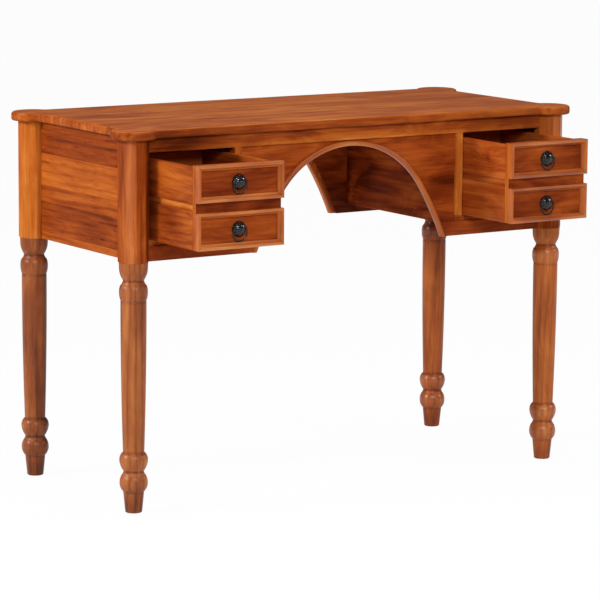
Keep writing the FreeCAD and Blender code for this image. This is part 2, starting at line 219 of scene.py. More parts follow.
# Bell of height 1 round a place, exp(-|offset / radii|^2)
def bell(tree, source, place, radii):
    offset = vectorCalc(tree, "DIVIDE", vectorCalc(tree, "SUBTRACT", source, place), radii)
    far = vectorCalc(tree, "DOT_PRODUCT", offset, offset)
    return calc(tree, "POWER", math.e, calc(tree, "MULTIPLY", far, -1.0))


# A screen colour of 0 to 255 as linear light
def linear(red, green, blue):
    part = np.array([red, green, blue]) / 255.0
    return (*np.where(part < 0.04045, part / 12.92, ((part + 0.055) / 1.055) ** 2.4).tolist(), 1.0)


def colourSteps(tree, value, stops, interpolation="LINEAR"):
    ramp = put(tree, "ValToRGB", {0: value})
    ramp.color_ramp.interpolation = interpolation
    band = ramp.color_ramp.elements
    while len(band) < len(stops):
        band.new(0.5)
    for element, (place, colour) in zip(band, stops):
        element.position = place
        element.color = colour
    return ramp.outputs[0]


# A new material with its node tree and its shader
def startMaterial(name):
    material = bpy.data.materials.new(name)
    material.use_nodes = True
    tree = material.node_tree
    return material, tree, tree.nodes["Principled BSDF"]


woodBase = {
    "grain": "x",
    "tones": [(92, 33, 8), (140, 60, 18), (177, 91, 31), (207, 128, 54)],
    "stops": [0.16, 0.40, 0.62, 0.88],
    "tone": 0.5,          # middle of the colour range
    "broad": 0.95,        # slow clouds
    "band": 0.38,         # broad lines along the grain
    "streak": 0.44,       # fine lines along the grain
    "rings": 0.11,        # dark growth lines
    "ringRate": 60.0,     # rings a metre across the grain
    "ringBend": 5.0,      # how far the rings wander into arches
    "planks": None,       # (axis, edges, tones): glued boards
    "knots": (),          # (x, y, z, radius)
    "patches": (),        # (x, y, z, radii, tone): soft lighter or darker places
    "polish": (),         # (x, y, z, radii, weight): places rubbed to a higher gloss
    "flecks": 0.0,        # short dark dashes along the grain
    "rough": 0.34,
    "coat": 0.04,
    "specular": 0.035,
    "uv": False,
}
# Axes along the grain, across it and in depth
grainOrder = {"x": "xyz", "y": "yzx", "z": "zxy"}
# Noises drawn out along the grain: (scale along, scale across, detail, roughness, warp)
grainNoise = {
    "broad": (5.5, 17.0, 3.0, 0.6, 1.1),
    "slow": (1.0, 6.0, 1.2, 0.45, 0.4),
    "band": (4.5, 55.0, 3.0, 0.6, 0.3),
    "streak": (10.0, 210.0, 4.0, 0.62, 0.15),
    "fibre": (38.0, 1500.0, 2.0, 0.5, 0.0),
    "fleck": (24.0, 260.0, 1.5, 0.5, 0.0),
}
grainShape = {
    "plankAlong": 31.0,          # how far a plank's tone moves its grain, so that no two match
    "plankDepth": 17.0,
    "ringPower": 3.0,            # narrows the dark side of a ring
    "ringMiddle": 0.28,
    "fibre": 0.10,
    "fleckRange": (0.60, 0.74),  # noise between which a dash darkens
    "roughRange": (-0.06, 0.14),
    "fibreRelief": 0.5,
    "bump": 0.10,
    "bumpDepth": 0.0006,
    "coatRough": 0.30,
}
# A knot: its length to its width, the reach of its bent rings and of its core in radii,
# how many rings it pushes aside, and how dark its surroundings and its core are
knotShape = {"long": 1 / 0.62, "swell": 2.5, "core": 1 / math.sqrt(1.6), "bend": 2.6,
             "swellDark": 0.12, "coreDark": 0.30}


# Tone of the glued board at each point, in steps along one axis
def plankTone(tree, place, edges, tones):
    low, high = edges[0], edges[-1]
    share = put(tree, "MapRange", {0: place, 1: low, 2: high}).outputs[0]
    stops = [((edge - low) / (high - low), (tone, tone, tone, 1)) for edge, tone in zip(edges, tones)]
    return colourSteps(tree, share, stops, "CONSTANT")


# Wood with the grain along one axis. Rings are lines of equal
# (across * rate + slow noise * bend); streaks and fibres are noise drawn out along the grain
def woodMaterial(name, **changes):
    look = {**woodBase, **changes}
    material, tree, shader = startMaterial(name)
    source = put(tree, "TexCoord").outputs["UV" if look["uv"] else "Object"]
    axes = dict(zip("xyz", put(tree, "SeparateXYZ", {0: source}).outputs))
    along, across, depth = (axes[axis] for axis in grainOrder[look["grain"]])
    value = look["tone"]
    if look["planks"]:
        axis, edges, plankTones = look["planks"]
        plank = plankTone(tree, axes[axis], edges, plankTones)
        value = layered(tree, value, plank, 1.0)
        along = calc(tree, "MULTIPLY_ADD", plank, grainShape["plankAlong"], along)
        depth = calc(tree, "MULTIPLY_ADD", plank, grainShape["plankDepth"], depth)
    here = put(tree, "CombineXYZ", {0: along, 1: across, 2: depth}).outputs[0]

    def noise(kind):
        alongScale, acrossScale, detail, roughness, warp = grainNoise[kind]
        drawn = vectorCalc(tree, "MULTIPLY", here, (alongScale, acrossScale, acrossScale))
        inputs = {"Vector": drawn, "Scale": 1.0, "Detail": detail, "Roughness": roughness, "Distortion": warp}
        return put(tree, "TexNoise", inputs).outputs[0]

    streak, fibre = noise("streak"), noise("fibre")
    ring = calc(tree, "MULTIPLY", noise("slow"), look["ringBend"])
    ring = calc(tree, "MULTIPLY_ADD", across, look["ringRate"], ring)
    for *place, radius in look["knots"]:
        size = np.array([knotShape["long"] if axis == look["grain"] else 1.0 for axis in "xyz"]) * radius
        swell = bell(tree, source, place, size * knotShape["swell"])
        core = bell(tree, source, place, size * knotShape["core"])
        ring = calc(tree, "MULTIPLY_ADD", swell, knotShape["bend"], ring)
        value = calc(tree, "MULTIPLY_ADD", swell, -knotShape["swellDark"], value)
        value = calc(tree, "MULTIPLY_ADD", core, -knotShape["coreDark"], value)
    wave = calc(tree, "MULTIPLY", calc(tree, "PINGPONG", ring, 0.5), 2.0)
    late = calc(tree, "POWER", wave, grainShape["ringPower"])

    value = layered(tree, value, noise("broad"), look["broad"])
    value = layered(tree, value, noise("band"), look["band"])
    value = layered(tree, value, streak, look["streak"])
    value = layered(tree, value, late, -look["rings"], grainShape["ringMiddle"])
    value = layered(tree, value, fibre, grainShape["fibre"])
    if look["flecks"]:
        low, high = grainShape["fleckRange"]
        dash = put(tree, "MapRange", {0: noise("fleck"), 1: low, 2: high}).outputs[0]
        value = calc(tree, "MULTIPLY_ADD", dash, -look["flecks"], value)
    for *place, radii, shade in look["patches"]:
        value = calc(tree, "MULTIPLY_ADD", bell(tree, source, place, radii), shade, value)

    stops = [(place, linear(*tone)) for place, tone in zip(look["stops"], look["tones"])]
    smooth, dull = (look["rough"] + change for change in grainShape["roughRange"])
    rough = put(tree, "MapRange", {0: streak, 3: smooth, 4: dull}).outputs[0]
    relief = {"Height": calc(tree, "MULTIPLY_ADD", fibre, grainShape["fibreRelief"], streak),
              "Strength": grainShape["bump"], "Distance": grainShape["bumpDepth"]}
    feed(tree, shader, {"Base Color": colourSteps(tree, value, stops), "Roughness": rough,
                        "Normal": put(tree, "Bump", relief).outputs[0],
                        "Specular IOR Level": look["specular"],
                        "Coat Weight": look["coat"], "Coat Roughness": grainShape["coatRough"]})
    gloss = look["coat"]
    for *place, radii, weight in look["polish"]:
        gloss = calc(tree, "MULTIPLY_ADD", bell(tree, source, place, radii), weight, gloss)
    if look["polish"]:
        feed(tree, shader, {"Coat Weight": gloss})
    return material


# Black lacquered iron: a dark body with a little rub-through under an uneven gloss
ironLook = {"cloud": 420.0, "stops": [(0.30, (15, 14, 14)), (0.62, (22, 20, 19)), (0.80, (44, 36, 30))],
            "rough": (0.07, 0.13), "shader": {"Specular IOR Level": 0.42},
            "grit": 2600.0, "bump": 0.03, "bumpDepth": 0.0002}
# Bright zinc screw steel, unevenly dull
steelLook = {"cloud": 700.0, "stops": [(0.3, (150, 148, 142)), (0.7, (186, 184, 178))],
             "rough": (0.26, 0.44), "shader": {"Metallic": 1.0}, "grit": None}


# Metal whose colour and gloss follow one cloud noise, with a relief of fine grit where it has one
def metalMaterial(name, look):
    material, tree, shader = startMaterial(name)
    source = put(tree, "TexCoord").outputs["Object"]
    cloud = put(tree, "TexNoise", {"Vector": source, "Scale": look["cloud"], "Detail": 3.0}).outputs[0]
    stops = [(place, linear(*tone)) for place, tone in look["stops"]]
    smooth, dull = look["rough"]
    rough = put(tree, "MapRange", {0: cloud, 3: smooth, 4: dull}).outputs[0]
    feed(tree, shader, {"Base Color": colourSteps(tree, cloud, stops), "Roughness": rough, **look["shader"]})
    if look["grit"]:
        grit = put(tree, "TexNoise", {"Vector": source, "Scale": look["grit"], "Detail": 2.0}).outputs[0]
        relief = {"Height": grit, "Strength": look["bump"], "Distance": look["bumpDepth"]}
        feed(tree, shader, {"Normal": put(tree, "Bump", relief).outputs[0]})
    return material


redTones = [(78, 25, 6), (122, 47, 14), (157, 70, 23), (186, 100, 42)]
topPlanks = ("y", [-0.25, -0.165, -0.085, 0.0, 0.07, 0.16, 0.25], [0.52, 0.46, 0.55, 0.45, 0.53, 0.48])
topWood = woodMaterial("topWood", planks=topPlanks, tone=0.57, broad=0.6, specular=0.25, coat=0.0, rough=0.46,
                       patches=[(-0.42, 0, 0.76, (0.15, 0.3, 0.1), -0.06),
                                (-0.05, 0, 0.76, (0.2, 0.3, 0.1), 0.05),
                                (0.42, 0, 0.76, (0.15, 0.3, 0.1), -0.04)])
# Lower part of the top's edge: a darker copy of the top's wood, painted shade under the round-over; lighter
# at the front right and the left end
rimWoodPaintedShade = woodMaterial("rimWoodPaintedShade", tone=0.41, broad=0.7, specular=0.04, rough=0.40,
                       patches=[(0.42, -0.23, 0.751, (0.22, 0.1, 0.1), 0.12),
                                (-0.52, 0, 0.751, (0.1, 0.2, 0.1), 0.07)])
sidePlanks = ("z", [0.500, 0.515, 0.579, 0.612, 0.677, 0.742], [0.52, 0.35, 0.45, 0.56, 0.36])
sideWood = woodMaterial("sideWood", grain="y", planks=sidePlanks, broad=0.55, band=0.30, streak=0.32,
                        flecks=0.16, specular=0.02, coat=0.02)


# A patch that goes all round a leg at one height: across, it is far wider than the desk
def allRound(height, reach, weight):
    wide = 9
    return (0, 0, height, (wide, wide, reach), weight)


# Tones of each leg: (turned part, post)
legTones = {"front_left": (0.48, 0.49), "front_right": (0.58, 0.58),
            "back_left": (0.40, 0.63), "back_right": (0.50, 0.50)}
turnedTones = {"left": [(90, 44, 23), (135, 69, 33), (168, 96, 47), (198, 131, 66)],
               "right": [(93, 40, 17), (141, 66, 28), (177, 95, 41), (207, 131, 63)]}
# Darker rings in the turned grooves, painted shade in the creases: {height: tone}. The foot is darker too
grooveShadeTones = {0.042: -0.10, 0.083: -0.20, 0.1215: -0.15, 0.4225: -0.11, 0.4635: -0.22}
grooveShade = [allRound(height, 0.003, tone) for height, tone in grooveShadeTones.items()]
footDark = [allRound(0.012, 0.026, -0.13)]
# Lighter and darker places of single legs: the top of the back right leg is painted shadow under the desk,
# the front left balls are painted lighter as a sheen
legPatchesAndPaintedLight = {"back_right": [(0.505, 0.205, 0.480, (0.06, 0.06, 0.050), -0.40)],
              "back_left": [(-0.481, 0.190, 0.27, (0.020, 0.020, 0.50), -0.20)],
              "front_left": [(-0.505, -0.205, 0.085, (0.06, 0.06, 0.040), 0.10)]}
# Legs whose growth lines are darker than the rest
legRings = {"front_left": 0.16}
# The balls and the bulb are rubbed brighter than the shaft, most on the right legs
ballHeights = (0.064, 0.108, 0.445)
ballGloss = {"left": 0.16, "right": 0.55}
# Lighter and darker places of the posts. Front left: the flat facing front-left is painted lighter as a
# sheen, the flat beside the open drawer darker as its painted shadow, the front and left flats a little
# darker. Back left: the front flat is painted light. Front right: darker low on the front
postPatchesAndPaintedLight = {"front_left": [(-0.527, -0.227, 0.62, (0.012, 0.012, 0.30), 0.14),
                              (-0.482, -0.221, 0.62, (0.012, 0.012, 0.40), -0.34),
                              (-0.505, -0.236, 0.62, (0.011, 0.008, 0.40), -0.11),
                              (-0.536, -0.205, 0.62, (0.008, 0.010, 0.40), -0.12)],
               "front_right": [(0.505, -0.235, 0.50, (0.05, 0.05, 0.030), -0.26)],
               "back_left": [(-0.537, 0.190, 0.62, (0.022, 0.030, 0.40), 0.07),
                             (-0.514, 0.175, 0.62, (0.009, 0.009, 0.40), 0.15)]}
postPolish = {"front_left": [(-0.526, -0.226, 0.62, (0.012, 0.012, 0.30), 0.95)],
              "front_right": [(0.505, -0.235, 0.71, (0.06, 0.03, 0.05), 0.50)]}
turnedWoods, postWoods = {}, {}
for place, (turnedTone, postTone) in legTones.items():
    side = place.split("_")[1]
    turnedWoods[place] = woodMaterial("turnedWood_" + place, grain="z", tone=turnedTone, broad=0.6,
                                      band=0.40, streak=0.45, specular=0.14, coat=0.10, rough=0.38,
                                      tones=turnedTones[side], ringBend=11.0,
                                      rings=legRings.get(place, woodBase["rings"]),
                                      patches=grooveShade + footDark + legPatchesAndPaintedLight.get(place, []),
                                      polish=[allRound(z, 0.011, ballGloss[side]) for z in ballHeights])
    postWoods[place] = woodMaterial("postWood_" + place, grain="z", tone=postTone, broad=0.5,
                                    specular=0.02, coat=0.0, rough=0.36,
                                    patches=postPatchesAndPaintedLight.get(place, ()), polish=postPolish.get(place, ()))
railWood = woodMaterial("railWood", tone=0.47, patches=[(0.12, -0.22, 0.713, (0.40, 0.1, 0.010), 0.20),
                                                        (-0.40, -0.22, 0.733, (0.12, 0.1, 0.014), -0.12)])
footRailWood = woodMaterial("footRailWood", tone=0.45, tones=redTones)
apronWood = woodMaterial("apronWood", tone=0.58, tones=redTones, specular=0.02, coat=0.02,
                         patches=[(0.235, -0.209, 0.592, (0.072, 0.05, 0.080), -0.27),
                                  (0.19, -0.209, 0.685, (0.09, 0.05, 0.03), -0.11)])
backWood = woodMaterial("backWood", tone=0.40, tones=redTones, broad=1.4, rings=0.16,
                        ringRate=34.0, ringBend=14.0)
bandWoods = {"front": woodMaterial("bandWood", tone=0.52, uv=True, broad=0.6, specular=0.18, coat=0.34),
             "back": woodMaterial("backBandWood", tone=0.58, uv=True, broad=0.6, specular=0.30)}
stileTones = {"left": 0.56, "right": 0.60}
stileWoods = {side: woodMaterial("stileWood_" + side, grain="z", tone=tone)
              for side, tone in stileTones.items()}
# Kneehole panels: a dark figured wood, partly its own tone and partly painted shade of the kneehole, with a
# painted pool of light at the low front where light comes in
kneeWoodPaintedShade = woodMaterial("kneeWoodPaintedShade", grain="y", tone=0.33, tones=redTones, broad=1.5, rings=0.20,
                        ringRate=34.0, ringBend=14.0, specular=0.02, coat=0.0,
                        patches=[(0.25, -0.08, 0.56, (0.3, 0.12, 0.05), 0.26)])
floorWood = woodMaterial("floorWood", grain="y", tone=0.42)
runnerWood = woodMaterial("runnerWood", grain="y", tone=0.5)
# Drawer front boards: darker round the left drawer's upper pull, and darker on the left drawer's strip
# between the mouldings, painted shadow under the upper moulding
panelWood = woodMaterial("panelWood", tone=0.54, tones=redTones, coat=0.02,
                         patches=[(-0.3765, -0.39, 0.67, (0.1, 0.05, 0.035), -0.19),
                                  (-0.3765, -0.39, 0.6245, (0.2, 0.05, 0.009), -0.14)])
# Mouldings: the horizontal strips are a lighter tone than the upright ones, partly painted light for their
# pale lit tops
mouldWoodXPaintedLight = woodMaterial("mouldWoodXPaintedLight", tone=0.67, broad=0.6, specular=0.30, coat=0.50,
                          patches=[(0.3765, -0.38, 0.6245, (0.15, 0.05, 0.15), -0.16)],
                          polish=[(0.3765, -0.38, 0.6245, (0.15, 0.05, 0.15), 0.40)])
mouldWoodZ = woodMaterial("mouldWoodZ", grain="z", tone=0.57, broad=0.6, specular=0.18, coat=0.35)
frontEndWood = woodMaterial("frontEndWood", grain="z", tone=0.56, broad=0.6)
# Drawer sides. Left: darker low down, darker beside the post as its painted shadow, and the groove painted
# lighter as light on its lower lip
drawerSideLooks = {
    "left": {"tone": 0.46, "patches": [(-0.4735, -0.30, 0.58, (0.02, 0.06, 0.04), -0.25),
                                       (-0.4735, -0.215, 0.62, (0.02, 0.03, 0.20), -0.22),
                                       (-0.4675, -0.30, 0.6245, (0.004, 0.20, 0.008), 0.30)]},
    "right": {"tone": 0.63, "tones": redTones, "knots": [(0.2795, -0.300, 0.672, 0.008)]},
}
drawerSideWoods = {side: woodMaterial("drawerSideWood_" + side, grain="y", broad=0.8, rings=0.10,
                                      ringBend=9.0, **look)
                   for side, look in drawerSideLooks.items()}
drawerInsideWood = woodMaterial("drawerInsideWood", tone=0.66)
# The left drawer's back board is a much lighter copy: painted light where it lies in the drawer's shade
drawerBackWoods = {"left": woodMaterial("drawerBackWood_left_paintedLight", tone=0.90, tones=redTones),
                   "right": drawerInsideWood}
dowelWood = woodMaterial("dowelWood", grain="z", tone=0.85)
pullIron = metalMaterial("pullIron", ironLook)
screwSteel = metalMaterial("screwSteel", steelLook)
print("materials made")


topShape = {"edgeX": 516, "edgeY": 227, "legX": 505, "legY": 205, "lobe": 45, "cove": 5,
            "roundOver": 6, "roundUnder": 4, "under": 742, "over": 760,
            "lobePoints": 61, "covePoints": 9, "edgePoints": 7,
            "rimFrom": 3}        # strip of the edge, counted from above, where the rim's darker wood, painted shade, begins


# Outline of the top, one corner at a time: cove, lobe, cove, with the outward normal at each point.
# A cove's circle stands outside the slab, so its normal points at its centre
def topOutline(shape):
    lobe, cove = shape["lobe"], shape["cove"]
    offX, offY = shape["edgeX"] - shape["legX"], shape["edgeY"] - shape["legY"]
    far = lobe + cove
    alongX = np.array([offX + cove, -math.sqrt(far ** 2 - (offX + cove) ** 2)])
    alongY = np.array([-math.sqrt(far ** 2 - (offY + cove) ** 2), offY + cove])
    turnX, turnY = math.atan2(*alongX[::-1]), math.atan2(*alongY[::-1])
    lobeAway = wayOf(np.linspace(turnX, turnY, shape["lobePoints"])[1:-1])
    firstAway = wayOf(np.linspace(math.pi, turnX + math.pi, shape["covePoints"]))
    lastAway = wayOf(np.linspace(turnY - math.pi, -math.pi / 2, shape["covePoints"]))
    points = np.concatenate([alongX + cove * firstAway, lobe * lobeAway, alongY + cove * lastAway])
    normals = np.concatenate([-firstAway, lobeAway, -lastAway])
    points = points + [shape["legX"], shape["legY"]]
    outline, away = [], []
    for signX, signY in ((1, 1), (-1, 1), (-1, -1), (1, -1)):
        step = 1 if signX * signY > 0 else -1
        outline.append((points * [signX, signY])[::step])
        away.append((normals * [signX, signY])[::step])
    return np.concatenate(outline), np.concatenate(away)


# The edge profile (two quarter rounds and a flat) carried round the outline, closed by two flat faces
def tableTop(shape):
    outline, away = topOutline(shape)
    half = shape["edgePoints"]
    rows = 2 * half
    quarter = np.linspace(0, math.pi / 2, half)
    lift = np.concatenate([math.pi / 2 - quarter, -quarter])
    upper = np.arange(rows) < half
    bend = np.where(upper, shape["roundOver"], shape["roundUnder"])
    inset = bend * (1 - np.cos(lift))
    level = np.where(upper, shape["over"] - bend, shape["under"] + bend) + bend * np.sin(lift)
    points = np.empty((len(outline), rows, 3))
    points[..., :2] = outline[:, None] - away[:, None] * inset[:, None]
    points[..., 2] = level
    normals = np.empty_like(points)
    normals[..., :2] = away[:, None] * np.cos(lift)[:, None]
    normals[..., 2] = np.sin(lift)
    faces = gridQuads(len(outline), rows, wrapRows=True).tolist()
    ring = np.arange(len(outline)) * rows
    faces.append(ring[::-1].tolist())
    faces.append((ring + rows - 1).tolist())
    made = makePiece("tableTop", points * mm, faces, normals=normals)
    # The lower rows of the edge take the rim's darker wood, painted shade
    onRim = np.arange(rows - 1) >= shape["rimFrom"]
    paintFaces(made, np.append(np.tile(onRim, len(outline)), [False, False]))
    return made


settle(tableTop(topShape), [topWood, rimWoodPaintedShade], "desk", "desk_wood", "table_top")
print("top made")


legShape = {"axisX": 505, "axisY": 205, "half": 30, "flat": 10, "bottom": 500, "top": 742,
            "corner": 1.6, "cornerPoints": 5,
            "shoulder": 29.0, "slope": 1.1, "coneStep": 0.4, "coneRows": 7,
            "turnStep": 6, "turnStart": 0.4,      # degrees
            "arcPoints": 17, "crease": 28}
# Turned profile from the floor up: (radius, height), a line for two points and an arc for three
legProfile = [
    [(15.6, 0), (16.8, 1.2)],
    [(16.8, 1.2), (20.8, 42)],
    [(20.8, 42), (26.0, 49.5), (28.1, 60)],
    [(28.1, 60), (27.1, 67.5), (24.2, 74.5)],
    [(24.2, 74.5), (21.7, 78.5), (20.3, 82.5)],
    [(20.3, 82.5), (20.3, 83.5)],
    [(20.3, 83.5), (25.2, 92), (28.4, 103.5)],
    [(28.4, 103.5), (27.7, 111.5), (24.6, 118)],
    [(24.6, 118), (21.2, 121.5)],
    [(21.2, 121.5), (24.6, 268), (25.7, 422)],
    [(25.7, 422), (25.2, 423.5)],
    [(25.2, 423.5), (27.5, 431), (28.4, 440)],
    [(28.4, 440), (28.1, 447.5), (26.3, 454)],
    [(26.3, 454), (23.4, 457.5), (21.2, 462.5)],
    [(21.2, 462.5), (20.7, 464.5)],
    [(20.7, 464.5), (21.8, 466.5)],
    [(21.8, 466.5), (26.2, 475.5), (28.4, 486)],
    [(28.4, 486), (29.0, 500)],
]


# Radius and outward normal of the octagon at each turn: flats r = d / cos(turn - flat),
# and between two flats the circle that touches both. Also the turns that draw those circles
def octagonRadius(shape, turn):
    sides, leastFacing, slack = 8, 1e-3, 1e-9
    index = np.arange(sides + 1)
    slanted = (shape["half"] + shape["flat"]) / math.sqrt(2)
    gaps = np.where(index % 2 == 0, shape["half"], slanted)
    ways, aim = wayOf(index * fullTurn / sides), wayOf(turn)
    reach = gaps[:sides] / np.maximum(aim @ ways[:sides].T, leastFacing)
    radius, normal = reach.min(1), ways[reach.argmin(1)]
    corners = []
    for k in range(sides):
        centre = np.linalg.solve(ways[k:k + 2], gaps[k:k + 2] - shape["corner"])
        touch = centre + shape["corner"] * ways[k:k + 2]
        first, last = np.unwrap(np.arctan2(touch[:, 1], touch[:, 0]))
        corners.append(np.linspace(first, last, shape["cornerPoints"]))
        inside = (turn - first) % fullTurn <= last - first + slack
        across = aim[inside] @ centre
        radius[inside] = across + np.sqrt(shape["corner"] ** 2 - centre @ centre + across ** 2)
        normal[inside] = (aim[inside] * radius[inside, None] - centre) / shape["corner"]
    return radius, normal, np.concatenate(corners) % fullTurn


# Grid of vectors (r cos t, r sin t, z) from r of each row and turn, (cos t, sin t) and z of each row
def polarGrid(radius, ways, height):
    flat = radius[..., None] * ways
    return np.concatenate([flat, np.broadcast_to(height[:, None, None], flat.shape[:2] + (1,))], -1)


# A leg in polar form, r(turn, z): the turned profile below and the octagon above, cut by a cone where
# the post begins. Every cell has the exact normals of its own part, so flats stay flat and the turned
# edges stay crisp
def legGrid(shape):
    even = np.radians(np.arange(0, 360, shape["turnStep"]) + shape["turnStart"])
    turn = np.unique(np.round(np.concatenate([even, octagonRadius(shape, even)[2]]), 6))
    octagon, away, _ = octagonRadius(shape, turn)
    around = wayOf(turn)
    rows, lowNormals, highNormals = [np.array(legProfile[0][:1], float)], [], []
    for piece in legProfile:
        isArc = len(piece) == 3
        part = arcThrough(*piece, shape["arcPoints"]) if isArc else np.array(piece, float)
        ahead = np.gradient(part, axis=0, edge_order=2 if isArc else 1)
        slope = np.stack([ahead[:, 1], -ahead[:, 0]], -1)
        slope /= np.linalg.norm(slope, axis=1, keepdims=True)
        bent = polarGrid(slope[:, :1], around, slope[:, 1])
        rows.append(part[1:])
        lowNormals.append(bent[:-1])
        highNormals.append(bent[1:])
    lathe = np.concatenate(rows)
    cone = shape["coneStep"] * np.arange(1, shape["coneRows"] + 1)
    rise = np.append(cone, shape["top"] - shape["bottom"])
    post = np.minimum(octagon, shape["shoulder"] + shape["slope"] * rise[:, None])
    radius = np.concatenate([np.broadcast_to(lathe[:, :1], (len(lathe), len(turn))), post])
    height = np.concatenate([lathe[:, 1], shape["bottom"] + rise])
    upright = np.concatenate([away, np.zeros((len(turn), 1))], -1)[None]
    plain = np.zeros((len(cone), len(turn), 3))      # left to the mesh's own shading
    low = np.concatenate(lowNormals + [plain, upright])
    high = np.concatenate(highNormals + [plain, upright])
    beside = (low, np.roll(low, -1, 1), np.roll(high, -1, 1), high)
    return polarGrid(radius, around, height), np.stack(beside, 2).reshape(-1, 3)


legPoints, legNormals = legGrid(legShape)
legRows, legCols = legPoints.shape[:2]
legFaces = gridQuads(legRows, legCols, wrapCols=True)[:, [0, 3, 2, 1]].tolist()
legFaces.append(list(range(legCols))[::-1])
legFaces.append(list(range((legRows - 1) * legCols, legRows * legCols)))
capNormals = np.repeat([[0, 0, -1.0], [0, 0, 1.0]], legCols, 0)
legNormals = np.concatenate([legNormals, capNormals])
onPost = np.repeat(legPoints[:-1, 0, 2] >= legShape["bottom"], legCols)
onPost = np.append(onPost, [False, True])
for endName, endSign in endSigns.items():
    for sideName, sideSign in sideSigns.items():
        corner = endName + "_" + sideName
        place = np.array([sideSign * legShape["axisX"], endSign * legShape["axisY"], 0])
        leg = makePiece("leg_%s_turned" % corner, (legPoints + place) * mm, legFaces,
                        crease=legShape["crease"], cornerNormals=legNormals)
        paintFaces(leg, onPost)
        settle(leg, [turnedWoods[corner], postWoods[corner]], "desk", "desk_wood", "leg_" + corner)
print("legs made")


archShape = {"crownTop": 702.0, "crown": 200.0, "turn": math.radians(57.4), "side": 682.0, "thick": 10.5,
             "bottom": 500.0, "front": 217.0, "depth": 13.0, "round": 4.2, "hiddenRound": 0.8,
             "roundSteps": 6, "points": 181}
archCrownZ = archShape["crownTop"] - archShape["crown"]
archSpread = archShape["side"] - archShape["crown"]
archSideX = archSpread * math.sin(archShape["turn"])
archSideZ = archCrownZ - archSpread * math.cos(archShape["turn"])


# Points of the arch moved outwards by an offset: a crown arc between two side arcs,
# each point = centre + (radius + offset)(sin a, cos a). share runs from -1.5 to 1.5, the crown is -0.5 to 0.5
def archPoints(share, offset):
    shape = archShape
    foot = np.arccos((shape["bottom"] - archSideZ) / (shape["side"] + offset))
    onCrown = np.clip(np.abs(share) * 2, 0, 1)
    beyond = np.clip(np.abs(share) - 0.5, 0, 1)
    angle = np.sign(share) * (onCrown * shape["turn"] + beyond * (foot - shape["turn"]))
    onSide = np.abs(share) > 0.5
    radius = np.where(onSide, shape["side"], shape["crown"]) + offset
    x = np.where(onSide, -np.sign(share) * archSideX, 0) + radius * np.sin(angle)
    z = np.where(onSide, archSideZ, archCrownZ) + radius * np.cos(angle)
    return x, z


# The bent band: a rounded oblong section (offset, depth) carried along the arch
def archBand(name, sign):
    shape = archShape
    corners = [(0, 0), (shape["thick"], 0), (shape["thick"], shape["depth"]), (0, shape["depth"])]
    radii = [shape["round"], shape["round"], shape["hiddenRound"], shape["round"]]
    section = roundedOutline(corners, radii, shape["roundSteps"])
    section = np.concatenate([section, section[:1]])
    share = np.linspace(-1.5, 1.5, shape["points"])
    x, z = archPoints(share[:, None], section[None, :, 0])
    y = sign * (shape["front"] - section[:, 1])
    points = np.stack([x, np.broadcast_to(y, x.shape), z], -1)
    step = np.linalg.norm(np.diff(points, axis=0), axis=2)
    length = np.concatenate([np.zeros((1, len(section))), np.cumsum(step, 0)])
    girth = np.concatenate([[0], np.cumsum(np.linalg.norm(np.diff(section, axis=0), axis=1))])
    uv = np.stack([length, np.broadcast_to(girth, length.shape)], -1) * mm
    faces = gridQuads(*x.shape).tolist()
    count = len(section)
    last = (len(share) - 1) * count
    faces.append(list(range(count - 1))[::-1])
    faces.append(list(range(last, last + count - 1)))
    return makePiece(name, points * mm, faces, uv=uv)


for endName, endSign in endSigns.items():
    band = archBand("%s_arch_strip" % endName, endSign)
    settle(band, bandWoods[endName], "desk", "desk_wood", "%s_arch_band" % endName)
print("arch bands made")


boardRound = {"side_panel": 1.6, "top_rail": 1.8, "bottom_rail": 1.8, "stile": 1.8, "inner_panel": 1.6,
              "front": 1.2}
endFacing = 0.75      # x of the normal, from which a face counts as a board's end


# A rounded board that fills the box of a CAD node; a second material goes on its left and right ends
def boardFor(node, material, radius, body="desk", slot="desk_wood"):
    low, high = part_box(node)
    piece = roundedBoard(node + "_board", low, high, radius * mm)
    if isinstance(material, list):
        normals = np.empty(len(piece.data.polygons) * 3, np.float32)
        piece.data.polygons.foreach_get("normal", normals)
        paintFaces(piece, np.abs(normals.reshape(-1, 3)[:, 0]) > endFacing)
    return settle(piece, material, body, slot, node)


for endName in endSigns:
    boardFor(endName + "_top_rail", railWood, boardRound["top_rail"])
for sideName in sideSigns:
    boardFor("side_panel_" + sideName, sideWood, boardRound["side_panel"])
    boardFor("stile_" + sideName, stileWoods[sideName], boardRound["stile"])
    boardFor("inner_panel_" + sideName, kneeWoodPaintedShade, boardRound["inner_panel"])


# Front bottom rail: a rounded section (y, z) carried along X from the arch's curve to the post
def bottomRail(sideName, sign):
    low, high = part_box("front_bottom_rail_" + sideName)
    corners = [(low[1], low[2]), (high[1], low[2]), (high[1], high[2]), (low[1], high[2])]
    section = roundedOutline(corners, [boardRound["bottom_rail"] * mm] * 4)
    post = max(abs(low[0]), abs(high[0]))
    drop = (archShape["side"] + archShape["thick"]) ** 2 - (section[:, 1] / mm - archSideZ) ** 2
    inner = (np.sqrt(drop) - archSideX) * mm

    def place(outline, t):
        x = sign * (inner + t * (post - inner))
        return np.stack([x, outline[:, 0], outline[:, 1]], -1)

    return carriedSection("bottom_rail_%s_board" % sideName, section, place)


for sideName, sideSign in sideSigns.items():
    rail = bottomRail(sideName, sideSign)
    settle(rail, footRailWood, "desk", "desk_wood", "front_bottom_rail_" + sideName)
print("carcass boards made")


